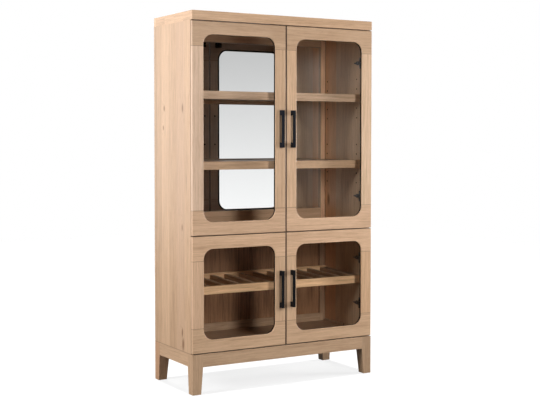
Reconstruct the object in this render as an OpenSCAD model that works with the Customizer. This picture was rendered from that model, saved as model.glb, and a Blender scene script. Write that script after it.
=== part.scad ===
/* [Case] */
// Width of the cabinet
case_w = 1168; // [1100:1:1400]
// Depth from the door faces to the back edge
case_d = 490; // [420:1:600]
// Height from the floor to the top face
case_h = 2068; // [1960:1:2300]
// Thickness of the top slab
top_t = 50; // [25:1:70]
// Thickness of each side panel
side_t = 19; // [16:1:20]
// Thickness of the bottom panel
bottom_t = 29; // [18:1:40]
// Thickness of the fixed panel between the two sections
middle_t = 22; // [16:1:30]
// Height of the joint between the lower and the upper doors
split_h = 861; // [800:1:1000]
// Depth of the grooves that hold the bottom and middle panels
groove_d = 6; // [3:0.5:9]

/* [Base] */
// Height of the base, from the floor to the case
base_h = 221; // [150:1:300]
// Height of the aprons between the legs
apron_h = 71; // [40:1:110]
// Thickness of the aprons
apron_t = 25; // [24:1:40]
// Width of a square leg at its top
leg_w = 62; // [52:1:80]
// Width of a leg at the floor
foot_w = 50; // [36:1:52]
// Side of the square cleats behind the front and back aprons
cleat_w = 20; // [12:1:28]
// Diameter of a foot glide
glide_d = 24; // [14:1:34]
// Thickness of a foot glide
glide_t = 3; // [2:0.5:6]
// Diameter of a glide's nail
nail_d = 3; // [2:0.1:5]
// Length of a glide's nail
nail_l = 14; // [8:1:24]

/* [Doors] */
// Thickness of the door frames
door_t = 20; // [18:1:26]
// Air between the closed doors and the case
door_gap = 2; // [1.5:0.1:4]
// Air between doors, and between doors, top slab and base
reveal = 4; // [2:0.5:6]
// Inset of the doors from the outer faces of the side panels
side_reveal = 1; // [0.5:0.1:2]
// Width of a door's stiles
stile_w = 66; // [60:1:90]
// Height of a door's rails at mid span
rail_w = 70; // [50:1:90]
// Radius of the aperture's corners
corner_r = 58; // [30:1:70]
// Straight land from a corner's curve to the joint with the stile
corner_land = 7; // [2:1:15]
// Width of the rabbet that holds the glass
rabbet_w = 9; // [6:1:12]
// Depth of the glass behind the door's face
glass_set = 9; // [6:0.5:12]
// Thickness of the glass
glass_t = 4; // [3:0.5:5]
// Air round the glass in its rabbet
glass_air = 1; // [0.5:0.1:2]

/* [Hinges] */
// Distance of a hinge's centre from the end of its door
hinge_end = 182; // [160:1:220]
// Diameter of a hinge cup's bore
cup_d = 35; // [30:1:36]
// Depth of a hinge cup's bore
cup_depth = 12; // [10:0.5:14]
// Wood between the cup's bore and the door's edge
cup_edge = 5; // [4:0.5:7]
// Wall of a hinge cup
cup_wall = 1.2; // [0.8:0.1:2]
// Height of a cup's flange
flange_h = 56; // [44:1:64]
// Width of a cup's flange
flange_w = 16; // [12:1:20]
// Diameter of a hinge's link pin
link_d = 5; // [3:0.5:6]
// Length of a hinge arm behind the case's front edge
arm_l = 88; // [64:1:100]
// Height of a hinge arm
arm_h = 18; // [12:1:20]
// Distance that a hinge arm stands off the side panel
arm_rise = 14; // [10:1:18]
// Height of a hinge's wall plate
plate_h = 22; // [20:1:34]
// Length of a wall plate behind its arm
plate_tail = 14; // [11:1:24]
// Thickness of a hinge's wall plate
plate_t = 2; // [1:0.5:4]
// Diameter of the screw head on a wall plate
plate_screw_d = 8; // [5:0.5:10]

/* [Handles] */
// Side of a handle's square bar
bar_w = 13; // [7:1:16]
// Length of a handle's bar
bar_l = 208; // [130:1:280]
// Reach of a handle in front of the door
handle_reach = 35; // [28:1:50]
// Height of the posts at the ends of a handle
post_h = 28; // [12:1:40]
// Distance of a handle's centre line from the door's inner edge
handle_edge = 34; // [24:1:40]
// Diameter of a handle's screws
screw_d = 4; // [3:0.5:5]
// Depth of a screw in its post
screw_grip = 10; // [6:1:16]
// Diameter of a screw's head
screw_head_d = 8; // [6:0.5:10]
// Thickness of a screw's head
screw_head_t = 2.2; // [1.5:0.1:3]

/* [Catches] */
// Distance of a catch from the centre line
catch_x = 56; // [40:1:80]
// Width of a catch
catch_w = 33; // [24:1:50]
// Height of a catch
catch_h = 37; // [14:1:40]
// Depth of a catch
catch_d = 22; // [14:1:30]
// Distance of a catch's lower end below the panel that carries it
catch_drop = 57; // [44:1:60]
// Thickness of a catch's bracket
bracket_t = 3; // [1.5:0.5:4]
// Length of a bracket's foot under the panel
bracket_l = 20; // [12:1:30]
// Thickness of a strike plate
strike_t = 1.5; // [0.8:0.1:2]
// Height of a strike plate
strike_h = 14; // [8:1:20]

/* [Shelves] */
// Rise from the middle panel to the first shelf face, and to the next one
shelf_rise = 387; // [300:1:420]
// Thickness of a shelf board
shelf_t = 20; // [15:1:25]
// Height of a shelf's front lip
lip_h = 45; // [30:1:60]
// Thickness of a shelf's front lip
lip_t = 20; // [15:1:30]
// Distance of a shelf's lip behind the case's front edge
shelf_set = 60; // [40:1:90]
// Air between a shelf and the case
shelf_air = 1.5; // [0.5:0.1:3]
// Diameter of a shelf pin's hole
pin_d = 5; // [4:0.5:7]
// Depth of a shelf pin's hole
pin_depth = 10; // [7:0.5:12]
// Distance from a pin to the lip in front and to the back frame
pin_edge = 24; // [14:1:60]
// Distance between the holes of a row
pin_pitch = 57; // [32:1:70]
// Holes above and below each shelf's own hole
pin_spare = 2; // [0:1:2]
// Length of a pin's tab under the shelf
tab_l = 9; // [6:0.5:14]
// Width of a pin's tab
tab_w = 10; // [8:0.5:14]

/* [Wine rack] */
// Rise from the bottom panel to the front end of the slats' top
rack_rise = 324; // [260:1:400]
// Rise of the slats from their front end to their back end
rack_lean = 12; // [0:1:30]
// Height of the rack's rails
rack_h = 45; // [34:1:60]
// Thickness of the rack's rails
rack_t = 18; // [12:1:24]
// Height of the back rail above the slats
rack_stop = 10; // [0:1:40]
// Distance aimed at between the centres of two slats
slat_pitch = 96; // [88:1:110]
// Width of a slat
slat_w = 24; // [16:1:30]
// Height of a slat
slat_h = 30; // [20:1:32]

/* [Back] */
// Thickness of the back frames
back_frame_t = 16; // [12:1:20]
// Width of the back frames' stiles
back_stile_w = 34; // [24:1:60]
// Height of the upper back frame's top rail
mirror_top_rail = 70; // [40:1:110]
// Height of the upper back frame's bottom rail
mirror_bottom_rail = 86; // [40:1:120]
// Height of the lower back frame's rails
panel_rail = 47; // [30:1:70]
// Width of the back frames' rabbets
back_rabbet = 10; // [6:1:14]
// Thickness of the mirror
mirror_t = 4; // [3:0.5:6]
// Thickness of the panel in the lower back frame
back_panel_t = 6; // [4:0.5:8]
// Thickness of the board behind the mirror
board_t = 5; // [3:0.5:8]
// Inset of the backs from the case's back edge
back_set = 2; // [0:0.5:6]

/* [Hidden] */
// Air round a turned or pressed-in piece
fit = 0.05;
// Air between a catch and its strike plate
catch_air = 0.3;
// Overlap that makes a cut run clean through a face
over = 1;
// Least wood left between a screw and the end of its bore
bore_tip = 1;
// Air between the outermost slats and the rack's end rails
slat_air = 7;
round_n = 64;

wood_front = [0.78, 0.65, 0.51];
wood_side = [0.91, 0.79, 0.66];
wood_inside = [0.62, 0.48, 0.35];
black_metal = [0.07, 0.07, 0.07];
black_plastic = [0.2, 0.2, 0.2];
steel = [0.55, 0.55, 0.56];

// The handles count in the depth, so that the origin is midway between their faces and the back
front_y = (handle_reach - case_d) / 2;
back_y = front_y + case_d;
door_back_y = front_y + door_t;
case_front_y = door_back_y + door_gap;
inner_x = case_w / 2 - side_t;

top_z = case_h - top_t;
middle_z = split_h - middle_t / 2;
floor_z = base_h + bottom_t;
upper_z = [split_h + reveal / 2, top_z - reveal];
lower_z = [base_h + reveal, split_h - reveal / 2];

// A left door runs from its hinged outer edge to its inner edge, and a right door mirrors it
door_x = [side_reveal - case_w / 2, -reveal / 2];
ear_h = rail_w + corner_r + corner_land;
stop_t = door_t - glass_set - glass_t;

cup_x = door_x[0] + cup_edge + cup_d / 2;
// The hinge line lies this far in front of the door's back face
axis_set = 0.7 * door_t;
// A corner this far from the hinge line just passes the case's front edge as the door turns
axis_clear = door_gap - 0.3;
axis_in = sqrt(axis_clear * (2 * axis_set + axis_clear));
axis_x = door_x[0] + axis_in;

board_y = back_y - back_set - board_t;
back_frame_y = board_y - back_frame_t;
shelf_front_y = case_front_y + shelf_set;
shelf_back_y = back_frame_y - shelf_air;
shelf_tops = [split_h + middle_t / 2 + shelf_rise, split_h + middle_t / 2 + 2 * shelf_rise];
pin_ys = [shelf_front_y + lip_t + pin_edge, back_frame_y - pin_edge];

rack_top_z = floor_z + rack_rise;
rack_z = rack_top_z - rack_h;
rack_back_y = back_frame_y - rack_t;
slat_reach = inner_x - rack_t - slat_w / 2 - slat_air;
slat_gaps = round(2 * slat_reach / slat_pitch);
slat_xs = [for (i = [0 : slat_gaps]) 2 * slat_reach * i / slat_gaps - slat_reach];

post_z = (bar_l - post_h) / 2;

// A box between two values on each axis
module block(x, y, z) {
    translate([x[0], y[0], z[0]]) cube([x[1] - x[0], y[1] - y[0], z[1] - z[0]]);
}

// The child as it is, and its mirror image on the other side
module both_sides() {
    children();
    mirror([1, 0, 0]) children();
}

// The child on the left, or its mirror image on the right
module on_side(right) {
    if (right) mirror([1, 0, 0]) children();
    else children();
}

// An XZ outline extruded along Y between two values
module across_depth(y) {
    translate([0, y[1], 0]) rotate([90, 0, 0]) linear_extrude(y[1] - y[0]) children();
}

// A rectangle with rounded corners, between two values on each axis
module rounded_outline(x, z, r) {
    translate([x[0] + r, z[0]]) square([x[1] - x[0] - 2 * r, z[1] - z[0]]);
    translate([x[0], z[0] + r]) square([x[1] - x[0], z[1] - z[0] - 2 * r]);
    for (cx = [x[0] + r, x[1] - r], cz = [z[0] + r, z[1] - r])
        translate([cx, cz]) circle(r, $fn = round_n);
}

module rod_z(d, z) {
    translate([0, 0, z[0]]) cylinder(d = d, h = z[1] - z[0], $fn = round_n);
}

module rod_y(d, y) {
    translate([0, y[0], 0]) rotate([-90, 0, 0]) cylinder(d = d, h = y[1] - y[0], $fn = round_n);
}

module rod_x(d, x) {
    translate([x[0], 0, 0]) rotate([0, 90, 0]) cylinder(d = d, h = x[1] - x[0], $fn = round_n);
}

// Case

module top_panel() {
    color(wood_side) block([-case_w / 2, case_w / 2], [front_y, back_y], [top_z, case_h]);
}

module pin_holes() {
    for (top = shelf_tops, row = [-pin_spare : pin_spare], y = pin_ys)
        translate([0, y, top - shelf_t - pin_d / 2 + row * pin_pitch])
            rod_x(pin_d, [-inner_x - pin_depth, -inner_x + over]);
}

module side_panel(right) {
    color(wood_side) on_side(right) difference() {
        block([-case_w / 2, -inner_x], [case_front_y, back_y], [base_h, top_z]);
        block([-inner_x - groove_d, -inner_x + over], [case_front_y - over, back_y + over],
              [middle_z, middle_z + middle_t]);
        block([-inner_x - groove_d, -inner_x + over], [case_front_y - over, back_y + over],
              [base_h - over, floor_z]);
        pin_holes();
    }
}

module cross_panel(z) {
    color(wood_inside)
        block([-inner_x - groove_d, inner_x + groove_d], [case_front_y, back_y - back_set], z);
}

// Backs

module back_rails(z, low_h, high_h, panel_t) {
    color(wood_inside) {
        difference() {
            block([back_stile_w - inner_x, inner_x - back_stile_w], [back_frame_y, board_y],
                  [z[0], z[0] + low_h]);
            block([-inner_x, inner_x], [board_y - panel_t, board_y + over],
                  [z[0] + low_h - back_rabbet, z[0] + low_h + over]);
        }
        difference() {
            block([back_stile_w - inner_x, inner_x - back_stile_w], [back_frame_y, board_y],
                  [z[1] - high_h, z[1]]);
            block([-inner_x, inner_x], [board_y - panel_t, board_y + over],
                  [z[1] - high_h - over, z[1] - high_h + back_rabbet]);
        }
    }
}

module back_stiles(z, low_h, high_h, panel_t) {
    color(wood_inside) both_sides() difference() {
        block([-inner_x, back_stile_w - inner_x], [back_frame_y, board_y], z);
        block([back_stile_w - inner_x - back_rabbet, back_stile_w - inner_x + over],
              [board_y - panel_t, board_y + over],
              [z[0] + low_h - back_rabbet, z[1] - high_h + back_rabbet]);
    }
}

// The panel or mirror that fills a back frame's rabbet
module back_fill(z, low_h, high_h, panel_t) {
    half = inner_x - back_stile_w + back_rabbet - glass_air;
    block([-half, half], [board_y - panel_t, board_y],
          [z[0] + low_h - back_rabbet + glass_air, z[1] - high_h + back_rabbet - glass_air]);
}

upper_back_z = [middle_z + middle_t, top_z];
lower_back_z = [floor_z, middle_z];

module mirror_panel() {
    color([0.85, 0.88, 0.9])
        back_fill(upper_back_z, mirror_bottom_rail, mirror_top_rail, mirror_t);
}

module mirror_backboard() {
    color(wood_inside) block([-inner_x, inner_x], [board_y, board_y + board_t], upper_back_z);
}

module lower_back_panel() {
    color(wood_inside) back_fill(lower_back_z, panel_rail, panel_rail, back_panel_t);
}

// Shelves

module shelf_board(top) {
    half = inner_x - shelf_air;
    color(wood_inside) block([-half, half], [shelf_front_y + lip_t, shelf_back_y], [top - shelf_t, top]);
}

module shelf_lip(top) {
    half = inner_x - shelf_air;
    color(wood_front) block([-half, half], [shelf_front_y, shelf_front_y + lip_t], [top - lip_h, top]);
}

module shelf_pins() {
    shank_x = [bore_tip - inner_x - pin_depth, tab_l / 2 - inner_x];
    color(steel) both_sides() for (top = shelf_tops, y = pin_ys)
        translate([0, y, top - shelf_t]) {
            translate([0, 0, -pin_d / 2]) rod_x(pin_d - 2 * fit, shank_x);
            block([fit - inner_x, tab_l - inner_x], [-tab_w / 2, tab_w / 2], [-pin_d, 0]);
        }
}

// Wine rack

module rack_long_rails() {
    color(wood_front) {
        block([-inner_x, inner_x], [shelf_front_y, shelf_front_y + rack_t], [rack_z, rack_top_z]);
        block([-inner_x, inner_x], [rack_back_y, back_frame_y],
              [rack_z + rack_lean, rack_top_z + rack_lean + rack_stop]);
    }
}

// A bar from the front rail to the back rail that rises by the lean, with z at its front end
module leaning_bar(x, z) {
    front = shelf_front_y + rack_t;
    translate([x[0], 0, 0]) rotate([90, 0, 90]) linear_extrude(x[1] - x[0])
        polygon([[front, z[0]], [rack_back_y, z[0] + rack_lean],
                 [rack_back_y, z[1] + rack_lean], [front, z[1]]]);
}

module rack_end_rails() {
    color(wood_inside) both_sides() leaning_bar([-inner_x, rack_t - inner_x], [rack_z, rack_top_z]);
}

module rack_slats() {
    color(wood_inside) for (x = slat_xs)
        leaning_bar([x - slat_w / 2, x + slat_w / 2], [rack_top_z - slat_h, rack_top_z]);
}

// Base

// The straight outer faces of a leg meet on the origin's vertical, and the inner faces taper below the apron
module leg_outline() {
    polygon([[0, glide_t], [foot_w, glide_t], [leg_w, base_h - apron_h], [leg_w, base_h], [0, base_h]]);
}

module leg_solid() {
    difference() {
        intersection() {
            across_depth([0, leg_w]) leg_outline();
            mirror([-1, 1, 0]) across_depth([0, leg_w]) leg_outline();
        }
        translate([foot_w / 2, foot_w / 2]) rod_z(nail_d, [0, glide_t + nail_l + bore_tip]);
    }
}

// A child drawn at the front left corner, moved there or mirrored to the back
module at_corner(back) {
    translate([-case_w / 2, back ? back_y : front_y, 0]) mirror([0, back ? 1 : 0, 0]) children();
}

module leg(right, back) {
    color(wood_front) on_side(right) at_corner(back) leg_solid();
}

module foot_glides() {
    color(black_plastic) both_sides() for (back = [false, true])
        at_corner(back) translate([foot_w / 2, foot_w / 2]) {
            rod_z(glide_d, [0, glide_t]);
            rod_z(nail_d - 2 * fit, [0, glide_t + nail_l]);
        }
}

module front_apron() {
    color(wood_front) block([leg_w - case_w / 2, case_w / 2 - leg_w], [front_y, front_y + apron_t],
                            [base_h - apron_h, base_h]);
}

module back_apron() {
    color(wood_side) block([leg_w - case_w / 2, case_w / 2 - leg_w], [back_y - apron_t, back_y],
                           [base_h - apron_h, base_h]);
}

module side_aprons() {
    color(wood_side) both_sides() block([-case_w / 2, apron_t - case_w / 2],
                                        [front_y + leg_w, back_y - leg_w], [base_h - apron_h, base_h]);
}

module base_cleats() {
    color(wood_inside) for (y = [front_y + apron_t, back_y - apron_t - cleat_w])
        block([leg_w - case_w / 2, case_w / 2 - leg_w], [y, y + cleat_w], [base_h - cleat_w, base_h]);
}

// Hinge arms and catches on the case

hinge_zs = [for (z = [upper_z, lower_z], at = [z[0] + hinge_end, z[1] - hinge_end]) at];

// The wall plate covers this much of the arm, and the arm's neck bends at this much
plate_y = [case_front_y + 0.4 * arm_l, case_front_y + arm_l];
neck_y = case_front_y + 0.15 * arm_l;

// Seen from above, the arm runs along the wall and dips into the cup
module arm_outline() {
    tip_x = [cup_x + 0.04 * cup_d, cup_x + 0.3 * cup_d];
    tip_y = door_back_y - 0.6 * cup_depth;
    arm_x = [plate_t - inner_x, arm_rise - inner_x];
    polygon([[arm_x[0], plate_y[1]], [arm_x[0], plate_y[0]], [tip_x[0], neck_y], [tip_x[0], tip_y],
             [tip_x[1], tip_y], [tip_x[1], neck_y], [arm_x[1], plate_y[0]], [arm_x[1], plate_y[1]]]);
}

module hinge_arm() {
    translate([0, 0, -arm_h / 2]) linear_extrude(arm_h) arm_outline();
    block([-inner_x, plate_t - inner_x], [plate_y[0], plate_y[1] + plate_tail], [-plate_h / 2, plate_h / 2]);
    translate([0, plate_y[1] + plate_tail / 2, 0])
        rod_x(plate_screw_d, [plate_t / 2 - inner_x, 2 * plate_t - inner_x]);
}

module hinge_arms() {
    color(steel) both_sides() for (z = hinge_zs) translate([0, 0, z]) hinge_arm();
}

// A catch hangs on a bracket below the top slab, and one below the middle panel
module door_catches() {
    x = [-catch_x - catch_w / 2, -catch_x + catch_w / 2];
    catch_y = door_back_y + strike_t + catch_air;
    bracket_y = catch_y + catch_d;
    color(black_plastic) both_sides() for (z = [top_z, middle_z]) {
        block(x, [catch_y, bracket_y], [z - catch_drop, z - catch_drop + catch_h]);
        block(x, [bracket_y, bracket_y + bracket_t], [z - catch_drop, z]);
        block(x, [bracket_y, bracket_y + bracket_l], [z - bracket_t, z]);
    }
}

// Doors

aperture_x = [door_x[0] + stile_w, door_x[1] - stile_w];

// The rabbet that holds a door's glass, less the air that is given
function rabbet_x(air) = [aperture_x[0] - rabbet_w + air, aperture_x[1] + rabbet_w - air];
function rabbet_z(z, air) = [z[0] + rail_w - rabbet_w + air, z[1] - rail_w + rabbet_w - air];

// What the glass and the view need cut from a door's frame
module door_opening(z) {
    aperture_z = [z[0] + rail_w, z[1] - rail_w];
    across_depth([front_y - over, door_back_y + over])
        rounded_outline(aperture_x, aperture_z, corner_r);
    across_depth([front_y + glass_set, door_back_y + over])
        rounded_outline(rabbet_x(0), rabbet_z(z, 0), corner_r + rabbet_w);
}

module door_rails(z, right) {
    color(wood_front) on_side(right) difference() {
        for (span = [[z[0], z[0] + ear_h], [z[1] - ear_h, z[1]]])
            block(door_x, [front_y, door_back_y], span);
        door_opening(z);
    }
}

module door_hinge_stile(z, right) {
    color(wood_front) on_side(right) difference() {
        block([door_x[0], aperture_x[0]], [front_y, door_back_y], [z[0] + ear_h, z[1] - ear_h]);
        door_opening(z);
        for (at = [z[0] + hinge_end, z[1] - hinge_end])
            translate([cup_x, 0, at]) rod_y(cup_d, [door_back_y - cup_depth, door_back_y + over]);
    }
}

module door_inner_stile(z, right) {
    mid = (z[0] + z[1]) / 2;
    color(wood_front) on_side(right) difference() {
        block([aperture_x[1], door_x[1]], [front_y, door_back_y], [z[0] + ear_h, z[1] - ear_h]);
        door_opening(z);
        for (at = [mid - post_z, mid + post_z])
            translate([door_x[1] - handle_edge, 0, at])
                rod_y(screw_d + 4 * fit, [front_y - over, door_back_y + over]);
    }
}

module door_glass(z, right) {
    color([0.8, 0.9, 0.9, 0.35]) on_side(right)
        across_depth([front_y + glass_set, front_y + glass_set + glass_t])
            rounded_outline(rabbet_x(glass_air), rabbet_z(z, glass_air), corner_r + rabbet_w - glass_air);
}

// A quarter of a ring, to the lower left of its centre
module quarter_ring(outer_r, inner_r) {
    difference() {
        intersection() {
            circle(outer_r, $fn = round_n);
            translate([-outer_r, -outer_r]) square(outer_r);
        }
        circle(inner_r, $fn = round_n);
    }
}

// The strips that hold a door's glass from behind: four straight ones, and one round each corner
module door_stops(z, right) {
    x = rabbet_x(fit);
    span = rabbet_z(z, fit);
    strip_w = rabbet_w - fit;
    outer_r = corner_r + strip_w;
    mid_x = (x[0] + x[1]) / 2;
    mid_z = (span[0] + span[1]) / 2;
    y = [door_back_y - stop_t, door_back_y];
    color(black_plastic) on_side(right) {
        for (edge = [x[0], x[1] - strip_w])
            block([edge, edge + strip_w], y, [span[0] + outer_r + fit, span[1] - outer_r - fit]);
        for (edge = [span[0], span[1] - strip_w])
            block([x[0] + outer_r + fit, x[1] - outer_r - fit], y, [edge, edge + strip_w]);
        for (left = [0, 1], low = [0, 1])
            translate([mid_x, 0, mid_z]) mirror([left, 0, 0]) mirror([0, 0, low])
                translate([x[0] + outer_r - mid_x, 0, span[0] + outer_r - mid_z])
                    across_depth(y) quarter_ring(outer_r, corner_r);
    }
}

// A bar and two posts that are bored for the screws behind the door
module door_handle(z, right) {
    bar_y = [front_y - handle_reach, front_y - handle_reach + bar_w];
    color(black_metal) on_side(right) translate([door_x[1] - handle_edge, 0, (z[0] + z[1]) / 2]) {
        block([-bar_w / 2, bar_w / 2], bar_y, [-bar_l / 2, bar_l / 2]);
        for (at = [-post_z, post_z]) translate([0, 0, at]) difference() {
            block([-bar_w / 2, bar_w / 2], [bar_y[1], front_y], [-post_h / 2, post_h / 2]);
            rod_y(screw_d + 2 * fit, [front_y - screw_grip - bore_tip, front_y + over]);
        }
    }
}

// The link pin crosses the cup's cavity between the hinge line and the arm's tip
link_x = axis_x + 0.3 * cup_d;

module hinge_cup() {
    half_chord = sqrt(pow((cup_d - cup_wall) / 2, 2) - pow(cup_x - link_x, 2));
    cup_y = [door_back_y - cup_depth + fit, door_back_y + cup_wall];
    difference() {
        union() {
            translate([cup_x, 0, 0]) rod_y(cup_d - 2 * fit, [cup_y[0], door_back_y]);
            block([cup_x - flange_w / 2, cup_x + flange_w / 2], [door_back_y, cup_y[1]],
                  [-flange_h / 2, flange_h / 2]);
        }
        translate([cup_x, 0, 0]) rod_y(cup_d - 2 * cup_wall, [cup_y[0] + cup_wall, cup_y[1] + over]);
    }
    translate([link_x, door_back_y - cup_depth / 2, 0]) rod_z(link_d, [-half_chord, half_chord]);
}

module handle_screw() {
    rod_y(screw_d, [front_y - screw_grip, door_back_y + screw_head_t / 2]);
    rod_y(screw_head_d, [door_back_y, door_back_y + screw_head_t]);
}

// The metal pieces on the back of a door below a panel: hinge cups, handle screws and a strike plate
module door_fittings(z, panel_z, right) {
    mid = (z[0] + z[1]) / 2;
    color(steel) on_side(right) {
        for (at = [z[0] + hinge_end, z[1] - hinge_end]) translate([0, 0, at]) hinge_cup();
        for (at = [mid - post_z, mid + post_z])
            translate([door_x[1] - handle_edge, 0, at]) handle_screw();
        translate([-catch_x, door_back_y, panel_z - catch_drop + catch_h / 2])
            block([-catch_w / 2, catch_w / 2], [0, strike_t], [-strike_h / 2, strike_h / 2]);
    }
}

top_panel();
side_panel(false);  // left_side
side_panel(true);  // right_side
cross_panel([middle_z, middle_z + middle_t]);  // middle_panel
cross_panel([base_h, floor_z]);  // bottom_panel
back_rails(upper_back_z, mirror_bottom_rail, mirror_top_rail, mirror_t);  // upper_back_rails
back_stiles(upper_back_z, mirror_bottom_rail, mirror_top_rail, mirror_t);  // upper_back_stiles
mirror_panel();
mirror_backboard();
back_rails(lower_back_z, panel_rail, panel_rail, back_panel_t);  // lower_back_rails
back_stiles(lower_back_z, panel_rail, panel_rail, back_panel_t);  // lower_back_stiles
lower_back_panel();
shelf_board(shelf_tops[1]);  // upper_shelf
shelf_lip(shelf_tops[1]);  // upper_shelf_lip
shelf_board(shelf_tops[0]);  // lower_shelf
shelf_lip(shelf_tops[0]);  // lower_shelf_lip
shelf_pins();
rack_long_rails();
rack_end_rails();
rack_slats();
leg(false, false);  // front_left_leg
leg(true, false);  // front_right_leg
leg(false, true);  // back_left_leg
leg(true, true);  // back_right_leg
front_apron();
back_apron();
side_aprons();
base_cleats();
foot_glides();
hinge_arms();
door_catches();
door_rails(upper_z, false);  // upper_left_rails
door_hinge_stile(upper_z, false);  // upper_left_hinge_stile
door_inner_stile(upper_z, false);  // upper_left_inner_stile
door_glass(upper_z, false);  // upper_left_glass
door_stops(upper_z, false);  // upper_left_stops
door_handle(upper_z, false);  // upper_left_handle
door_fittings(upper_z, top_z, false);  // upper_left_fittings
door_rails(upper_z, true);  // upper_right_rails
door_hinge_stile(upper_z, true);  // upper_right_hinge_stile
door_inner_stile(upper_z, true);  // upper_right_inner_stile
door_glass(upper_z, true);  // upper_right_glass
door_stops(upper_z, true);  // upper_right_stops
door_handle(upper_z, true);  // upper_right_handle
door_fittings(upper_z, top_z, true);  // upper_right_fittings
door_rails(lower_z, false);  // lower_left_rails
door_hinge_stile(lower_z, false);  // lower_left_hinge_stile
door_inner_stile(lower_z, false);  // lower_left_inner_stile
door_glass(lower_z, false);  // lower_left_glass
door_stops(lower_z, false);  // lower_left_stops
door_handle(lower_z, false);  // lower_left_handle
door_fittings(lower_z, middle_z, false);  // lower_left_fittings
door_rails(lower_z, true);  // lower_right_rails
door_hinge_stile(lower_z, true);  // lower_right_hinge_stile
door_inner_stile(lower_z, true);  // lower_right_inner_stile
door_glass(lower_z, true);  // lower_right_glass
door_stops(lower_z, true);  // lower_right_stops
door_handle(lower_z, true);  // lower_right_handle
door_fittings(lower_z, middle_z, true);  // lower_right_fittings
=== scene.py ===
import math

import bmesh
import bpy
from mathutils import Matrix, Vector


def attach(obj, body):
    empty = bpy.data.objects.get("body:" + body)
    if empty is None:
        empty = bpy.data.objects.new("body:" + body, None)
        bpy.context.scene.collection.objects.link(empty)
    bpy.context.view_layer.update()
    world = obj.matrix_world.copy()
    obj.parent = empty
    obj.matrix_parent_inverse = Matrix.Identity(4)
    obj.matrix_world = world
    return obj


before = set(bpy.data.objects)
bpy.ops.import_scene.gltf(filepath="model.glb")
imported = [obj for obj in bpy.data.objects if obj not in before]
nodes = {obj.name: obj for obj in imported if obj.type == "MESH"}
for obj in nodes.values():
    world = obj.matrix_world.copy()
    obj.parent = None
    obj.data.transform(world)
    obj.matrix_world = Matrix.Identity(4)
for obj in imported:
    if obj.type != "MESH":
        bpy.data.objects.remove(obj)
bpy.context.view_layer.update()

scene = bpy.context.scene

# Camera, with its angles in degrees

CAMERA_AT = (-3.1468, -5.4467, 1.3805)
CAMERA_DOWN, CAMERA_ROLL, CAMERA_TURN = 2.269, -0.029, -30.235
SENSOR_WIDTH, LENS, SHIFT_Y = 36, 72.52, -0.037

camera = bpy.data.objects.new("camera", bpy.data.cameras.new("camera"))
scene.collection.objects.link(camera)
scene.camera = camera
camera.location = CAMERA_AT
camera.rotation_euler = [math.radians(angle) for angle in (90 - CAMERA_DOWN, CAMERA_ROLL, CAMERA_TURN)]
camera.data.sensor_width = SENSOR_WIDTH
camera.data.lens = LENS
camera.data.shift_y = SHIFT_Y
scene.view_settings.view_transform = "Standard"

# Shader building

# Places of a Mix node's two inputs and its output, for each type of data
MIX_SOCKETS = {"VECTOR": (4, 5, 1), "RGBA": (6, 7, 2)}


class Net:
    """A node tree with short calls for its nodes. Each value is a constant or another node's socket."""

    def __init__(self, tree):
        self.tree = tree

    def put(self, value, socket):
        if isinstance(value, bpy.types.NodeSocket):
            self.tree.links.new(value, socket)
        else:
            socket.default_value = value

    def node(self, kind, inputs=None, **settings):
        made = self.tree.nodes.new(kind)
        for key, value in settings.items():
            setattr(made, key, value)
        for key, value in (inputs or {}).items():
            self.put(value, made.inputs[key])
        return made

    def math(self, operation, *values):
        return self.node("ShaderNodeMath", dict(enumerate(values)), operation=operation).outputs[0]

    def vector(self, operation, *values):
        made = self.node("ShaderNodeVectorMath", dict(enumerate(values)), operation=operation)
        return made.outputs["Value" if operation in ("LENGTH", "DOT_PRODUCT") else "Vector"]

    def split(self, vector):
        return self.node("ShaderNodeSeparateXYZ", {0: vector}).outputs

    def join(self, *parts):
        return self.node("ShaderNodeCombineXYZ", dict(enumerate(parts))).outputs[0]

    def noise(self, vector, scale, detail=2.0, roughness=0.5):
        return self.node("ShaderNodeTexNoise", {"Vector": vector, "Scale": scale, "Detail": detail,
                                                "Roughness": roughness}).outputs["Fac"]

    def span(self, value, low, high, to_low=0.0, to_high=1.0, smooth=True):
        return self.node("ShaderNodeMapRange", {0: value, 1: low, 2: high, 3: to_low, 4: to_high},
                         interpolation_type="SMOOTHSTEP" if smooth else "LINEAR").outputs[0]

    def mix(self, share, first, second, data="RGBA", **settings):
        at_first, at_second, out = MIX_SOCKETS[data]
        return self.node("ShaderNodeMix", {0: share, at_first: first, at_second: second},
                         data_type=data, **settings).outputs[out]

    def ramp(self, value, stops):
        made = self.node("ShaderNodeValToRGB", {0: value})
        elements = made.color_ramp.elements
        while len(elements) < len(stops):
            elements.new(0.5)
        for element, (place, colour) in zip(elements, stops):
            element.position = place
            element.color = opaque(colour)
        return made.outputs[0]


class Material(Net):
    """A new material, whose node tree feeds its Principled shader."""

    SOCKETS = {"colour": "Base Color", "roughness": "Roughness", "metallic": "Metallic", "alpha": "Alpha",
               "specular": "Specular IOR Level", "glow_colour": "Emission Color", "glow": "Emission Strength"}

    def __init__(self, name):
        self.mat = bpy.data.materials.new(name)
        self.mat.use_nodes = True
        super().__init__(self.mat.node_tree)
        self.shader = self.tree.nodes["Principled BSDF"]

    def place(self):
        """The point of the surface, in metres in the cabinet's frame at rest."""
        return self.node("ShaderNodeTexCoord").outputs["Object"]

    def bump(self, height, strength, distance):
        made = self.node("ShaderNodeBump", {"Height": height, "Strength": strength, "Distance": distance})
        self.put(made.outputs[0], self.shader.inputs["Normal"])

    def look(self, **values):
        for key, value in values.items():
            self.put(value, self.shader.inputs[self.SOCKETS[key]])


def opaque(colour):
    return (*colour, 1)


def grey(value):
    return (value, value, value, 1)


def shade(colour, factor, warm=0.0):
    """The colour made lighter or darker, and redder where warm is above 0."""
    return (colour[0] * factor * (1 + warm), colour[1] * factor, colour[2] * factor * (1 - warm))


# Oak

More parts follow.
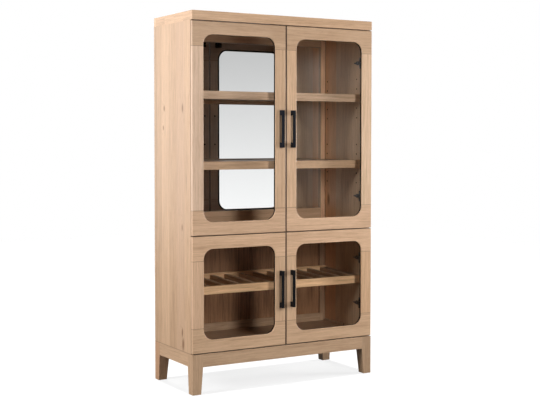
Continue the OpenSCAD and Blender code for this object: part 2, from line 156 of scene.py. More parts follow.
OAK = (0.545, 0.352, 0.215)
# The two axes across the grain and the one along it
AXES = {"X": "YZX", "Y": "XZY", "Z": "XYZ"}
# Noises of the grain: how often each changes in a metre across and along the grain, its detail and roughness
BEND = (4.0, 0.55, 2.0, 0.5)
WANDER = (16.0, 0.9, 2.0, 0.5)
STREAK = (105.0, 4.5, 4.0, 0.85)
BROAD = (11.0, 0.8, 2.0, 0.5)
FIBRE = (420.0, 9.0, 3.0, 0.6)
PORES = (900.0, 26.0, 1.0, 0.5)
# What each one adds to the tone, at a depth of 1
LATE_WEIGHT, STREAK_WEIGHT, BROAD_WEIGHT, FIBRE_WEIGHT, STAVE_WEIGHT = -0.10, 1.10, 0.38, 0.55, 0.24
# Each wood starts at a place of its own in the noise, and each stave jumps to another
SEED_START, SEED_STEP = (3.0, 5.0, 7.0), (1.37, 2.11, 3.73)
STAVE_SEED_STEP, STAVE_JUMP = 17.0, 3.0
# Growth rings: distances between the tree's centres across the grain, width of a ring, and the sideways
# bend and the wander of its line, the last in rings
CENTRE_STEPS = (0.31, 0.27)
RING_WIDTH, RING_BEND, RING_WANDER = 0.013, 0.07, 4.0
# Late wood darkens from the first share of a ring's width to the second, and ends between the other two
LATE_START, LATE_END = (0.30, 0.92), (0.94, 1.0)
# A knot's dark core fades between these shares of its half size, and the rings bend out to the reach
KNOT_CORE, KNOT_REACH, KNOT_SWIRL = (0.25, 1.20), 4.0, 0.022
# Stops of the tone, as (place, lightness, warmth)
TONE_STOPS = [(0.06, 0.66, 0.05), (0.30, 0.86, 0.03), (0.54, 1.0, 0.0), (0.94, 1.22, -0.02)]
# What is mixed in, as (share, lightness, warmth)
PORE_MIX, KNOT_MIX = (0.34, 0.50, 0.06), (0.85, 0.27, 0.42)
LINE_MIX, RUBBED_MIX = (0.7, 0.34, 0.05), (0.10, 1.30, -0.06)
# Scale, detail and roughness of the rubbed patches, and where the noises count as rubbed and as pores
RUBBED_NOISE, RUBBED_CUT, PORE_CUT = (17.0, 5.0, 0.65), (0.58, 0.72), (0.60, 0.72)
# Blur at the edges of a band, and the share of a joint line's half width that is fully dark
BAND_BLUR, LINE_CORE = 0.001, 0.3
# A face looks along X where its normal's share of X is above this
EDGE_FACE = 0.7
# Roughness from the glossiest to the dullest streak, what rubbing adds, and the relief of fibres and pores
OAK_GLOSS, RUBBED_DULLS = (0.33, 0.43), 0.12
FIBRE_RELIEF, RELIEF_STRENGTH, RELIEF_DEPTH = 0.5, 0.22, 0.0005
OAK_SPECULAR = 0.5


def wood(name, grain, seed, tone=1.0, stave=None, edge_grain=None, knots=(), bands=(), lines=(), depth=1.5):
    """Lacquered oak with its grain along one axis, and depth as the strength of its figure. tone is one share
    of the oak's colour or one for each of its parts, stave is (axis, width, start) of glued boards and
    edge_grain the grain of the faces that look along X. knots are (x, y, z, half width, half height),
    bands are (axis, low, high, share of each colour) of boards with a tone of their own or of painted
    shade, sheen or reflection, and lines are (axis, place, half width) of joints, and of painted shade in
    corners and recesses, that show as thin dark lines."""
    net = Material(name)
    place = net.place()
    parts = net.split(place)

    def along(axis):
        return net.join(*(parts[part] for part in AXES[axis]))

    rotated = along(grain)
    if edge_grain:
        facing = net.split(net.node("ShaderNodeTexCoord").outputs["Normal"])
        is_edge = net.math("GREATER_THAN", net.math("ABSOLUTE", facing["X"]), EDGE_FACE)
        rotated = net.mix(is_edge, rotated, along(edge_grain), "VECTOR")
    shifted = net.vector("ADD", rotated, [seed * step + start for start, step in zip(SEED_START, SEED_STEP)])
    tones = []
    if stave:
        axis, width, start = stave
        number = net.math("FLOOR", net.math("DIVIDE", net.math("SUBTRACT", parts[axis], start), width))
        draw = net.node("ShaderNodeTexWhiteNoise", {"W": net.math("ADD", number, seed * STAVE_SEED_STEP)},
                        noise_dimensions="1D").outputs
        shifted = net.vector("ADD", shifted, net.vector("MULTIPLY", draw["Color"], [STAVE_JUMP] * 3))
        tones.append((draw["Value"], STAVE_WEIGHT))

    def figure(across, lengthways, detail, roughness):
        return net.noise(net.vector("MULTIPLY", shifted, (across, across, lengthways)), 1.0, detail, roughness)

    # Growth rings, bent lengthways and round each knot
    bend = figure(*BEND)
    rings_at = net.vector("ADD", shifted, net.vector("MULTIPLY", net.join(bend, bend), (RING_BEND, RING_BEND, 0.0)))
    knot_dark = None
    for x, y, z, half_w, half_h in knots:
        away = net.vector("LENGTH", net.vector("MULTIPLY", net.vector("SUBTRACT", place, (x, y, z)),
                                               (1 / half_w, 1 / half_w, 1 / half_h)))
        core = net.span(away, *KNOT_CORE, 1.0, 0.0)
        swirl = net.span(away, 0.0, KNOT_REACH, KNOT_SWIRL, 0.0)
        rings_at = net.vector("ADD", rings_at, net.join(swirl, swirl))
        knot_dark = core if knot_dark is None else net.math("MAXIMUM", knot_dark, core)
    squares = [net.math("POWER", net.math("MODULO", part, step), 2.0)
               for part, step in zip(net.split(rings_at), CENTRE_STEPS)]
    rings = net.math("DIVIDE", net.math("SQRT", net.math("ADD", *squares)), RING_WIDTH)
    turn = net.math("FRACT", net.math("MULTIPLY_ADD", figure(*WANDER), RING_WANDER, rings))
    late = net.math("MULTIPLY", net.span(turn, *LATE_START), net.span(turn, *LATE_END, 1.0, 0.0))

    streak = figure(*STREAK)
    fibre = figure(*FIBRE)
    tones += [(late, LATE_WEIGHT), (streak, STREAK_WEIGHT), (figure(*BROAD), BROAD_WEIGHT), (fibre, FIBRE_WEIGHT)]
    total = 0.5
    for value, weight in tones:
        total = net.math("ADD", total, net.math("MULTIPLY", net.math("SUBTRACT", value, 0.5), weight * depth))
    shares = tone if isinstance(tone, tuple) else (tone,) * 3
    middle = [part * share for part, share in zip(OAK, shares)]
    colour = net.ramp(total, [(at, shade(middle, factor, warm)) for at, factor, warm in TONE_STOPS])

    def mixed_in(where, share, factor, warm):
        return net.mix(net.math("MULTIPLY", where, share), colour, opaque(shade(middle, factor, warm)))

    pores = net.span(figure(*PORES), *PORE_CUT)
    colour = mixed_in(pores, *PORE_MIX)
    if knot_dark is not None:
        colour = mixed_in(knot_dark, *KNOT_MIX)
    for axis, low, high, share in bands:
        inside = net.math("MULTIPLY", net.span(parts[axis], low - BAND_BLUR, low + BAND_BLUR),
                          net.span(parts[axis], high - BAND_BLUR, high + BAND_BLUR, 1.0, 0.0))
        colour = net.mix(inside, colour, opaque(share), blend_type="MULTIPLY")
    for axis, at, half in lines:
        far = net.math("ABSOLUTE", net.math("SUBTRACT", parts[axis], at))
        colour = mixed_in(net.span(far, half * LINE_CORE, half, 1.0, 0.0), *LINE_MIX)

    # Wear: rubbed patches are a little paler and duller
    rubbed = net.span(net.noise(place, *RUBBED_NOISE), *RUBBED_CUT)
    colour = mixed_in(rubbed, *RUBBED_MIX)
    gloss = net.span(streak, 0.3, 0.7, *OAK_GLOSS)
    relief = net.math("SUBTRACT", net.math("MULTIPLY", fibre, FIBRE_RELIEF), pores)
    net.bump(relief, RELIEF_STRENGTH, RELIEF_DEPTH)
    net.look(colour=colour, roughness=net.math("MULTIPLY_ADD", rubbed, RUBBED_DULLS, gloss), specular=OAK_SPECULAR)
    return net.mat


# Metal, plastic, glass and mirror

METAL_SPECULAR, PLASTIC_SPECULAR = 0.5, 0.12
# Lightness of the darker and the paler clouds, and what they do to the roughness either way
CLOUD_SHADES, CLOUD_GLOSS = (0.82, 1.2), 0.05
# Scale of the scratches, where the noise counts as one, their lightness and its share, and what they dull
SCRATCH_SCALE, SCRATCH_CUT = (900.0, 900.0, 40.0), (0.66, 0.74)
SCRATCH_SHADE, SCRATCH_SHARE, SCRATCH_DULLS = 1.9, 0.3, 0.08
METAL_RELIEF = 0.0002
GLASS_IOR = 1.45
# Opacity and roughness of the smears on the glass
SMEAR_VEIL, SMEAR_ROUGHNESS = 0.003, (0.02, 0.06)


def metal(name, colour, roughness, metallic, grain=900.0, strength=0.12):
    """Metal or plastic with a fine surface, a little uneven in gloss and colour, and faintly scratched."""
    net = Material(name)
    place = net.place()
    fine = net.noise(place, grain, 2.0, 0.6)
    cloud = net.noise(place, 35.0, 3.0)
    scratched = net.span(net.noise(net.vector("MULTIPLY", place, SCRATCH_SCALE), 1.0, 1.0), *SCRATCH_CUT)
    tint = net.mix(cloud, *(opaque(shade(colour, factor)) for factor in CLOUD_SHADES))
    gloss = net.span(cloud, 0.3, 0.7, roughness - CLOUD_GLOSS, roughness + CLOUD_GLOSS)
    pale = net.math("MULTIPLY", scratched, SCRATCH_SHARE)
    net.look(colour=net.mix(pale, tint, opaque(shade(colour, SCRATCH_SHADE))), metallic=metallic,
             roughness=net.math("MULTIPLY_ADD", scratched, SCRATCH_DULLS, gloss),
             specular=METAL_SPECULAR if metallic else PLASTIC_SPECULAR)
    net.bump(fine, strength, METAL_RELIEF)
    return net.mat


def clear_glass():
    """Thin coated glass: it lets light straight through, mirrors only at a slant, and has faint smears."""
    net = Material("clear_glass")
    smear = net.noise(net.place(), 9.0, 4.0, 0.6)
    backfacing = net.node("ShaderNodeNewGeometry").outputs["Backfacing"]
    ior = net.span(backfacing, 0.0, 1.0, GLASS_IOR, 1 / GLASS_IOR)
    slant = net.span(net.node("ShaderNodeFresnel", {"IOR": ior}).outputs[0], 0.05, 1.0, smooth=False)
    net.look(colour=net.mix(smear, (0.86, 0.90, 0.89, 1), (0.92, 0.95, 0.94, 1)), metallic=1.0,
             alpha=net.math("ADD", slant, net.span(smear, 0.45, 0.8, 0.0, SMEAR_VEIL)),
             roughness=net.span(smear, 0.35, 0.7, *SMEAR_ROUGHNESS))
    return net.mat


def silvered():
    """A mirror's silver, with very faint clouds in its colour and gloss."""
    net = Material("silvered")
    cloud = net.noise(net.place(), 3.0, 3.0)
    net.look(colour=net.mix(cloud, (0.90, 0.91, 0.91, 1), (0.93, 0.94, 0.94, 1)), metallic=1.0,
             roughness=net.span(cloud, 0.3, 0.8, 0.0, 0.003))
    return net.mat


# Materials on the CAD nodes

WELD_GAP = 0.00001
BEVEL_ANGLE = math.radians(40)
BEVEL_SEGMENTS = 2


def dress(name, material):
    """Gives a CAD node one material."""
    mesh = nodes[name].data
    mesh.materials.clear()
    mesh.materials.append(material)


def soften(name, width):
    """Rounds a CAD node's sharp edges as sanding does."""
    weld = nodes[name].modifiers.new("weld", "WELD")
    weld.merge_threshold = WELD_GAP
    bevel = nodes[name].modifiers.new("bevel", "BEVEL")
    bevel.width = width
    bevel.segments = BEVEL_SEGMENTS
    bevel.limit_method = "ANGLE"
    bevel.angle_limit = BEVEL_ANGLE


# X of the sides' outer and inner faces
SIDE_X, INNER_X = 0.584, 0.565
SIDE_STAVES = ("Y", 0.098, -0.130)
SIDE_KNOTS = [(-SIDE_X, -0.107, 1.550, 0.012, 0.030), (-SIDE_X, 0.128, 1.553, 0.013, 0.020),
              (-SIDE_X, 0.140, 1.445, 0.009, 0.018), (-SIDE_X, -0.100, 0.900, 0.008, 0.024),
              (-SIDE_X, -0.100, 0.325, 0.011, 0.030), (-SIDE_X, -0.110, 0.262, 0.016, 0.040)]
WALL_KNOTS = [(INNER_X, 0.200, 1.010, 0.016, 0.045)]
GREY_STAVE = ("Y", -0.130, -0.032, (0.90, 0.89, 0.91))
# The rear strip of the right side's inner face: partly a warmer stave, partly painted shade where the light from
# the front left doesn't reach
WARM_STAVE_AND_SHADE = ("Y", 0.118, 0.2375, (1.08, 0.93, 0.80))
# Painted reflection: a pale, bluish veil over the right side's inner face
INNER_FACE_VEIL = ("X", 0.556, 0.574, (1.22, 1.30, 1.36))
# Where the side meets the base, and painted shade in the corner where its inner face meets the back
SIDE_FOOT = ("Z", 0.2215, 0.0040)
CORNER_SHADE = ("Y", 0.2365, 0.0035)
# Painted shadow along the inner edges of the frame round the mirror, where the mirror sits back in it, and along
# the right edge of the lower back's panel, where the panel sits back in its frame
FRAME_END_SHADOWS = [("Z", 0.958, 0.004), ("Z", 1.948, 0.004)]
FRAME_SIDE_SHADOWS = [("X", -0.531, 0.004), ("X", 0.531, 0.004)]
PANEL_EDGE_SHADOW = ("X", 0.527, 0.006)

# Each wood's place in this list is the seed of its figure, so new ones go to the end
WOODS = {
    "top_panel": dict(grain="X", stave=("Y", 0.118, 0.0), edge_grain="Y", tone=1.15),
    "left_side": dict(grain="Z", stave=SIDE_STAVES, knots=SIDE_KNOTS, bands=[GREY_STAVE],
                      lines=[CORNER_SHADE, SIDE_FOOT]),
    "right_side": dict(grain="Z", stave=SIDE_STAVES, knots=WALL_KNOTS, bands=[INNER_FACE_VEIL, WARM_STAVE_AND_SHADE],
                       lines=[CORNER_SHADE]),
    "middle_panel": dict(grain="X", stave=("Y", 0.12, 0.0), tone=0.85),
    # The lower bay's floor board is darkened in its tone: painted shade
    "bottom_panel": dict(grain="X", stave=("Y", 0.12, 0.0), tone=(0.66, 0.63, 0.62)),
    "upper_back_rails": dict(grain="X", tone=1.03, lines=FRAME_END_SHADOWS),
    # The stiles round the mirror are lightened in their tone: painted light
    "upper_back_stiles": dict(grain="Z", tone=1.45, lines=FRAME_SIDE_SHADOWS),
    "mirror_backboard": dict(grain="Z", tone=0.75),
    "lower_back_rails": dict(grain="X", depth=2.2, tone=0.82),
    "lower_back_stiles": dict(grain="Z", tone=0.90),
    # The lower back's panel is darkened and reddened in its tone: painted shade in the lower bay
    "lower_back_panel": dict(grain="Z", depth=3.6, stave=("X", 0.14, 0.05), tone=(0.62, 0.49, 0.395),
                             lines=[PANEL_EDGE_SHADOW]),
    # The shelves are darkened in their tone: painted shade on their tops
    "upper_shelf": dict(grain="X", stave=("Y", 0.11, 0.0), tone=0.70),
    "lower_shelf": dict(grain="X", stave=("Y", 0.11, 0.0), tone=0.60),
    "upper_shelf_lip": dict(grain="X", depth=2.0, tone=(1.05, 1.09, 1.15)),
    "lower_shelf_lip": dict(grain="X", depth=2.0, tone=(1.02, 1.00, 0.96)),
    "rack_long_rails": dict(grain="X", depth=2.0, tone=(1.38, 1.31, 1.14)),
    "rack_end_rails": dict(grain="Y", depth=2.4, tone=0.85),
    "rack_slats": dict(grain="Y", depth=2.4, tone=0.80),
    "front_left_leg": dict(grain="Z", tone=0.92),
    "front_right_leg": dict(grain="Z", tone=0.78),
    # The back left leg's darker, redder tone is painted shade on its inner faces
    "back_left_leg": dict(grain="Z", tone=(0.93, 0.84, 0.80)),
    "back_right_leg": dict(grain="Z", tone=0.85),
    "front_apron": dict(grain="X", tone=0.91),
    "back_apron": dict(grain="X", tone=0.88),
    "side_aprons": dict(grain="Y", tone=0.95),
    "base_cleats": dict(grain="X", tone=0.8),
}
# Tones of each door's rails, hinge stile and inner stile. The paler, bluer tones of the upper hinge stiles are
# partly painted sheen
DOOR_TONES = {
    "upper_left": (0.90, (1.16, 1.24, 1.40), 1.05),
    "upper_right": (0.95, (1.20, 1.26, 1.32), 1.15),
    "lower_left": (1.08, (1.18, 1.18, 1.22), 1.10),
    "lower_right": (1.08, (1.10, 1.06, 1.02), 1.10),
}
JOINT_HALF = 0.0022
JOINTS = {"upper": [("Z", 0.998, JOINT_HALF), ("Z", 1.879, JOINT_HALF)],
          "lower": [("Z", 0.360, JOINT_HALF), ("Z", 0.724, JOINT_HALF)]}
PALE_RAIL = {"upper": ("Z", 0.84, 1.10, (1.22, 1.21, 1.23)), "lower": ("Z", 0.70, 0.87, (1.08, 1.07, 1.08))}
# Painted shade on the edges of the doors in the gaps, and painted shade with a grey-blue painted reflection on the
# doors' inner faces, which the mirror shows
GAP_SHADE = (0.20, 0.17, 0.15)
RAIL_GAP_SHADES = {"upper": [("Z", 0.8620, 0.8645, GAP_SHADE), ("Z", 2.0115, 2.0150, GAP_SHADE)],
              "lower": [("Z", 0.2240, 0.2275, GAP_SHADE), ("Z", 0.8575, 0.8600, GAP_SHADE)]}
MEETING_GAP_SHADE = ("X", -0.0050, 0.0050, GAP_SHADE)
DOOR_BACK_SHADE_AND_VEIL = ("Y", -0.2095, -0.2055, (0.62, 0.73, 0.92))
for door, (rail_tone, hinge_tone, inner_tone) in DOOR_TONES.items():
    level = door.split("_")[0]
    WOODS[door + "_rails"] = dict(grain="X", tone=rail_tone, lines=JOINTS[level],
                                  bands=[PALE_RAIL[level], MEETING_GAP_SHADE, DOOR_BACK_SHADE_AND_VEIL, *RAIL_GAP_SHADES[level]])
    WOODS[door + "_hinge_stile"] = dict(grain="Z", tone=hinge_tone, lines=JOINTS[level], bands=[DOOR_BACK_SHADE_AND_VEIL])
    WOODS[door + "_inner_stile"] = dict(grain="Z", tone=inner_tone, lines=JOINTS[level],
                                        bands=[MEETING_GAP_SHADE, DOOR_BACK_SHADE_AND_VEIL])

OAK_EDGE, SLAT_EDGE, METAL_EDGE, CATCH_EDGE = 0.0012, 0.0035, 0.0009, 0.0015
oaks = {}
for seed, (name, facts) in enumerate(WOODS.items()):
    oaks[name] = wood("oak_" + name, seed=seed, **facts)
    dress(name, oaks[name])
    soften(name, SLAT_EDGE if name == "rack_slats" else OAK_EDGE)

# The lower handles take a darker copy of the black metal, which is painted shade. The blue tint of the black metal
# is partly a painted reflection
black_metal = metal("black_metal", (0.006, 0.009, 0.015), 0.38, 0.0)
shaded_black_metal = metal("shaded_black_metal", (0.002, 0.003, 0.005), 0.42, 0.0)
nickel = metal("nickel", (0.34, 0.34, 0.35), 0.30, 1.0)
dark_steel = metal("dark_steel", (0.19, 0.195, 0.19), 0.36, 1.0)
black_plastic = metal("black_plastic", (0.006, 0.006, 0.007), 0.5, 0.0, 600.0, 0.08)
glass = clear_glass()
for door in DOOR_TONES:
    dress(door + "_glass", glass)
    dress(door + "_handle", shaded_black_metal if door.startswith("lower") else black_metal)
    dress(door + "_fittings", nickel)
    dress(door + "_stops", black_plastic)
    soften(door + "_handle", METAL_EDGE)
dress("mirror_panel", silvered())
dress("shelf_pins", nickel)
dress("hinge_arms", dark_steel)
dress("door_catches", black_plastic)
dress("foot_glides", black_plastic)
soften("hinge_arms", METAL_EDGE)
soften("door_catches", CATCH_EDGE)

# Meshes of the detail pieces

RING_POINTS = 24
RING = [(math.cos(i * math.tau / RING_POINTS), math.sin(i * math.tau / RING_POINTS)) for i in range(RING_POINTS)]
# The cross recess in a screw head, as shares of its radius
ARM, HALF = 0.46, 0.12
CROSS = [(HALF, HALF), (HALF, ARM), (-HALF, ARM), (-HALF, HALF), (-ARM, HALF), (-ARM, -HALF),
         (-HALF, -HALF), (-HALF, -ARM), (HALF, -ARM), (HALF, -HALF), (ARM, -HALF), (ARM, HALF)]
# Radius and rise of a screw head's outline, as shares of its radius and height
HEAD = [(1.0, 0.0), (1.0, 0.45), (0.90, 0.82), (0.66, 1.0)]
# Depth of the recess, the most of the head's height that it takes, and the size of its foot
RECESS, RECESS_MOST, RECESS_FOOT = 0.0009, 0.8, 0.8


def walls(bm, low, high):
    """The faces between two loops of points."""
    for i in range(len(low)):
        j = (i + 1) % len(low)
        bm.faces.new((low[i], low[j], high[j], high[i]))


def pan_head(bm, at, way, radius, height):
    """A screw head with a rounded rim and a cross recess, that sits at a point and faces one way."""
    turn = Vector(way).to_track_quat("Z", "Y").to_matrix().to_4x4()
    turn.translation = Vector(at)

    def loop(shape, size, rise):
        return [bm.verts.new(turn @ Vector((x * size, y * size, rise))) for x, y in shape]

    rings = [loop(RING, radius * share, height * rise) for share, rise in HEAD]
    for low, high in zip(rings, rings[1:]):
        walls(bm, low, high)
    bm.faces.new(rings[0][::-1])
    rim = loop(CROSS, radius, height)
    pit = loop(CROSS, radius * RECESS_FOOT, height - min(RECESS, RECESS_MOST * height))
    walls(bm, rim, pit)
    bm.faces.new(pit)
    edges = [bm.edges.get((ring[i - 1], ring[i])) or bm.edges.new((ring[i - 1], ring[i]))
             for ring in (rings[-1], rim) for i in range(len(ring))]
    bmesh.ops.triangle_fill(bm, edges=edges, use_beauty=True)


def prism(bm, outline, way):
    """A flat outline, drawn out by one step."""
    ends = [[bm.verts.new(Vector(point) + Vector(way) * share) for point in outline] for share in (0, 1)]
    walls(bm, *ends)
    bm.faces.new(ends[0])
    bm.faces.new(ends[1][::-1])


def finish_piece(name, bm, material, body):
    """Makes a named object of a mesh, which rides on a body and takes a slot's finish."""
    bmesh.ops.recalc_face_normals(bm, faces=bm.faces)
    mesh = bpy.data.meshes.new(name)
    bm.to_mesh(mesh)
    bm.free()
    mesh.materials.append(material)
    made = bpy.data.objects.new(name, mesh)
    scene.collection.objects.link(made)
    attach(made, body)


def screws(name, places, material, body):
    """Screw heads in one piece, each as (point, way, radius, height)."""
    bm = bmesh.new()
    for place in places:
        pan_head(bm, *place)
    finish_piece(name, bm, material, body)


# Places of the CAD's fittings

HINGE_Z = {"upper": (1.045, 1.832), "lower": (0.407, 0.677)}
ALL_HINGE_Z = HINGE_Z["upper"] + HINGE_Z["lower"]
HANDLE_Z = {"upper": 1.4385, "lower": 0.542}
HANDLE_X, HANDLE_STEP = 0.036, 0.09
STRIKE_Z = {"upper": 1.9795, "lower": 0.8115}
CATCH_TOPS = (2.018, 0.850)
CATCH_X = 0.056
DOOR_BACK_Y = -0.2075
CUP_X = 0.5605
WING_Y = -0.135
OUT, UNDER = (0, 1, 0), (0, 0, -1)
SIDES = (-1, 1)

# Screw heads, as (radius, height)

ARM_SCREW, PLATE_SCREW, CATCH_SCREW = (0.0036, 0.0017), (0.0036, 0.0016), (0.0032, 0.0016)
BOARD_SCREW, RAIL_SCREW, CLEAT_SCREW = (0.0042, 0.0015), (0.0042, 0.0020), (0.0045, 0.0022)
CUP_SCREW, STRIKE_SCREW, HANDLE_SCREW = (0.0032, 0.0013), (0.0026, 0.00025), (0.0050, 0.0032)

# Hinge arms and the wings of their wall plates
ARM_X, PLATE_X = 0.551, 0.563
arm_screws = []
for side in SIDES:
    inward = (-side, 0, 0)
    for z in ALL_HINGE_Z:
        arm_screws += [((side * ARM_X, y, z), inward, *ARM_SCREW) for y in (-0.160, -0.129)]
        arm_screws += [((side * PLATE_X, WING_Y, z + step), inward, *PLATE_SCREW) for step in (-0.025, 0.025)]
screws("hinge_arm_screws", arm_screws, nickel, "cabinet")

screws("catch_screws", [((side * (CATCH_X + step), -0.172, z - 0.003), UNDER, *CATCH_SCREW)
                        for side in SIDES for step in (-0.009, 0.009) for z in CATCH_TOPS],
       nickel, "cabinet")

# The backing board's screws in its ends and its sides, and those in the ends of the lower back
BOARD_Y, LOWER_BACK_Y = 0.2605, 0.2555
board_screws = [((x, BOARD_Y, z), OUT, *BOARD_SCREW)
                for x in (-0.550, -0.275, 0.0, 0.275, 0.550) for z in (0.886, 2.004)]
board_screws += [((x, BOARD_Y, z), OUT, *BOARD_SCREW) for x in (-0.550, 0.550) for z in (1.11, 1.335, 1.56, 1.785)]
board_screws += [((x, LOWER_BACK_Y, z), OUT, *RAIL_SCREW)
                 for x in (-0.548, -0.274, 0.0, 0.274, 0.548) for z in (0.273, 0.827)]
screws("back_screws", board_screws, nickel, "cabinet")

CLEAT_Z = 0.201
screws("cleat_screws", [((x, y, CLEAT_Z), UNDER, *CLEAT_SCREW)
                        for x in (-0.45, -0.15, 0.15, 0.45) for y in (-0.1925, 0.2275)],
       nickel, "cabinet")

# How far the hinge cups and the strikes stand out from the doors' inner faces
CUP_RISE, STRIKE_RISE = 0.0012, 0.0015
for door in DOOR_TONES:
    level, half = door.split("_")
    side = 1 if half == "right" else -1
    screws(door + "_handle_screws",
           [((side * HANDLE_X, DOOR_BACK_Y, HANDLE_Z[level] + step), OUT, *HANDLE_SCREW)
            for step in (-HANDLE_STEP, HANDLE_STEP)],
           black_metal, door + "_door")
    heads = [((side * CUP_X, DOOR_BACK_Y + CUP_RISE, z + step), OUT, *CUP_SCREW)
             for z in HINGE_Z[level] for step in (-0.022, 0.022)]
    heads += [((side * (CATCH_X + step), DOOR_BACK_Y + STRIKE_RISE, STRIKE_Z[level]), OUT, *STRIKE_SCREW)
              for step in (-0.011, 0.011)]
    screws(door + "_screws", heads, nickel, door + "_door")

# The wings of each hinge's wall plate, and the lever behind its arm that covers the plate's screw

WING_HALF, WING_FOOT, WING_TIP, WING_ROUND, WING_THICK = 0.0055, 0.011, 0.0275, 0.0045, 0.002
LEVER_THICK = 0.008
# Y and half height of the lever's outline
LEVER = [(-0.1175, 0.0085), (-0.1130, 0.0080), (-0.1050, 0.0050), (-0.0900, 0.0035), (-0.0870, 0.0020)]
HALF_TURN = [(math.cos(math.radians(a)), math.sin(math.radians(a))) for a in range(0, 181, 15)]
hinge_parts = bmesh.new()
for side in SIDES:
    for z in ALL_HINGE_Z:
        for up in (-1, 1):
            wing = [(side * INNER_X, WING_Y + edge, z + up * WING_FOOT) for edge in (WING_HALF, -WING_HALF)]
            wing += [(side * INNER_X, WING_Y - WING_ROUND * c, z + up * (WING_TIP + WING_ROUND * s))
                     for c, s in HALF_TURN]
            prism(hinge_parts, wing, (-side * WING_THICK, 0, 0))
        lever = [(side * PLATE_X, y, z + up * half)
                 for up, edge in ((1, LEVER), (-1, LEVER[::-1])) for y, half in edge]
        prism(hinge_parts, lever, (-side * LEVER_THICK, 0, 0))
finish_piece("hinge_wings_and_levers", hinge_parts, dark_steel, "cabinet")

# Sleeves in the spare holes for the shelf pins, two above and two below each shelf's own

# Radius and rise of a sleeve's outline
SLEEVE = [(0.0020, 0.0005), (0.0042, 0.0005), (0.0042, 0.0), (0.00245, 0.0), (0.00245, -0.006), (0.0020, -0.006)]
PIN_YS = (-0.1015, 0.2155)
SHELF_HOLES = (1.2365, 1.6235)
HOLE_STEP = 0.057
sleeves = bmesh.new()
for side in SIDES:
    for y in PIN_YS:
        for z in [hole + row * HOLE_STEP for hole in SHELF_HOLES for row in (-2, -1, 1, 2)]:
            loops = [[sleeves.verts.new((side * (INNER_X - rise), y + radius * c, z + radius * s)) for c, s in RING]
                     for radius, rise in SLEEVE]
            for i in range(len(loops)):
                walls(sleeves, loops[i - 1], loops[i])
finish_piece("pin_sleeves", sleeves, black_plastic, "cabinet")

# Beads along the foot of the walls behind the lower doors

BEAD_W, BEAD_H = 0.011, 0.012
BEAD_FRONT_Y, BEAD_LENGTH, BEAD_FOOT_Z = 0.022, 0.2175, 0.250
QUARTER_TURN = [math.radians(15 * i) for i in range(7)]
bead = [(INNER_X, BEAD_FOOT_Z)]
bead += [(INNER_X - BEAD_W * math.cos(a), BEAD_FOOT_Z + BEAD_H * math.sin(a)) for a in QUARTER_TURN]
beads = bmesh.new()
for side in SIDES:
    prism(beads, [(side * x, BEAD_FRONT_Y, z) for x, z in bead], (0, BEAD_LENGTH, 0))
finish_piece("wall_beads", beads, oaks["lower_back_rails"], "cabinet")

# Floor. It glows where it is seen, so that it is white outside the shadow, and throws little light back

FLOOR_HALF_W, FLOOR_FRONT, FLOOR_BACK = 7, -7, 9
FLOOR_BOUNCE, FLOOR_SEEN, FLOOR_GLOW = 0.09, 0.20, 0.79
floor_mesh = bpy.data.meshes.new("floor")
floor_mesh.from_pydata([(-FLOOR_HALF_W, FLOOR_FRONT, 0), (FLOOR_HALF_W, FLOOR_FRONT, 0),
                        (FLOOR_HALF_W, FLOOR_BACK, 0), (-FLOOR_HALF_W, FLOOR_BACK, 0)], [], [(0, 1, 2, 3)])
floor = bpy.data.objects.new("floor", floor_mesh)
scene.collection.objects.link(floor)
floor_look = Material("pale_floor")
seen = floor_look.node("ShaderNodeLightPath").outputs["Is Camera Ray"]
floor_look.look(colour=floor_look.mix(seen, grey(FLOOR_BOUNCE), grey(FLOOR_SEEN)), roughness=0.9, specular=0.0,
                glow_colour=grey(1), glow=floor_look.math("MULTIPLY", seen, FLOOR_GLOW))
floor_mesh.materials.append(floor_look.mat)


def direction(azimuth, elevation):
    """The way that an azimuth from the front, towards the cabinet's right, and an elevation give in degrees."""
    a, e = math.radians(azimuth), math.radians(elevation)
    return Vector((math.sin(a) * math.cos(e), -math.cos(a) * math.cos(e), math.sin(e)))


# Studio round the cabinet: white to the eye and dark to matt surfaces, which the lamps light. The mirror shows
# a pale screen in front, and gloss shows a pale wall at the front left and another low behind the cabinet.

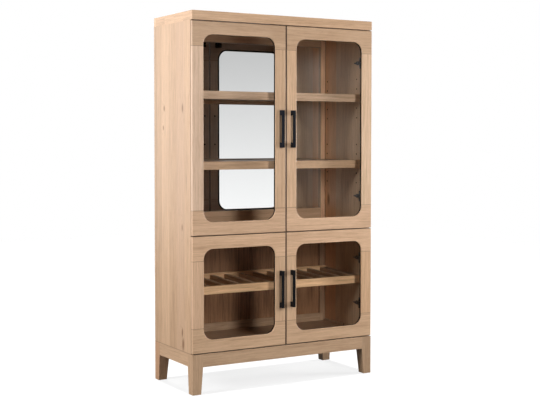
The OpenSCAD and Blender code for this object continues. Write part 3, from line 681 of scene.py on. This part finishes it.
SCREEN_AZIMUTH = 32
SCREEN_EDGE = (0.87, 0.96)
SCREEN_RISE = (-0.06, 0.075)
SCREEN_LOW, SCREEN_HIGH, ROUND_SCREEN = grey(1.01), grey(0.615), grey(0.30)
LEFT_WALL, FRONT_WALL, BACK_WALL, DARK = grey(0.54), grey(0.03), grey(2.14), grey(0.0)
world = bpy.data.worlds.new("studio")
scene.world = world
world.use_nodes = True
sky = Net(world.node_tree)
way = sky.node("ShaderNodeTexCoord").outputs["Generated"]
way_parts = sky.split(way)
ray = sky.node("ShaderNodeLightPath").outputs
toward = sky.vector("DOT_PRODUCT", way, direction(SCREEN_AZIMUTH, 0))
screen = sky.mix(sky.span(way_parts["Z"], *SCREEN_RISE, smooth=False), SCREEN_LOW, SCREEN_HIGH)
mirror_view = sky.mix(sky.span(toward, *SCREEN_EDGE), ROUND_SCREEN, screen)
to_left = sky.span(way_parts["X"], -0.05, -0.35)
front_view = sky.mix(ray["Is Singular Ray"], sky.mix(to_left, FRONT_WALL, LEFT_WALL), mirror_view)
low = sky.span(way_parts["Z"], 0.55, 0.45)
behind = sky.span(way_parts["Y"], -0.05, 0.05)
gloss_view = sky.mix(behind, front_view, sky.mix(low, DARK, BACK_WALL))
unseen = sky.mix(ray["Is Glossy Ray"], DARK, gloss_view)
sky.put(sky.mix(ray["Is Camera Ray"], unseen, grey(1.0)), sky.tree.nodes["Background"].inputs["Color"])

# Lamps, as (azimuth, elevation, width, height, power), round a point in the cabinet

MIDDLE = Vector((0.0, -0.1, 1.1))
LAMP_REACH = 4.5
LAMPS = {
    "left_side": (-85, 14, 1.0, 1.0, 168),
    "left_front": (-60, 31, 1.0, 1.6, 42),
    "front": (0, 17, 0.8, 1.4, 65),
    "front_low": (0, 1, 0.8, 0.8, 21),
    "right_side": (70, 3.5, 0.9, 0.9, 185),
    "back": (172, 20, 1.6, 1.6, 130),
}
for name, (azimuth, elevation, width, height, power) in LAMPS.items():
    lamp = bpy.data.lights.new(name, "AREA")
    lamp.shape = "RECTANGLE"
    lamp.size, lamp.size_y = width, height
    lamp.energy = power
    made = bpy.data.objects.new(name, lamp)
    scene.collection.objects.link(made)
    made.location = MIDDLE + LAMP_REACH * direction(azimuth, elevation)
    made.rotation_mode = "QUATERNION"
    made.rotation_quaternion = (MIDDLE - made.location).to_track_quat("-Z", "Y")
    made.visible_camera = False

# A light straight from above, which gives the floor its pale shadow below the cabinet

OVERHEAD_POWER, OVERHEAD_ANGLE = 3.3, math.radians(1.5)
overhead = bpy.data.lights.new("overhead", "SUN")
overhead.energy = OVERHEAD_POWER
overhead.angle = OVERHEAD_ANGLE
scene.collection.objects.link(bpy.data.objects.new("overhead", overhead))
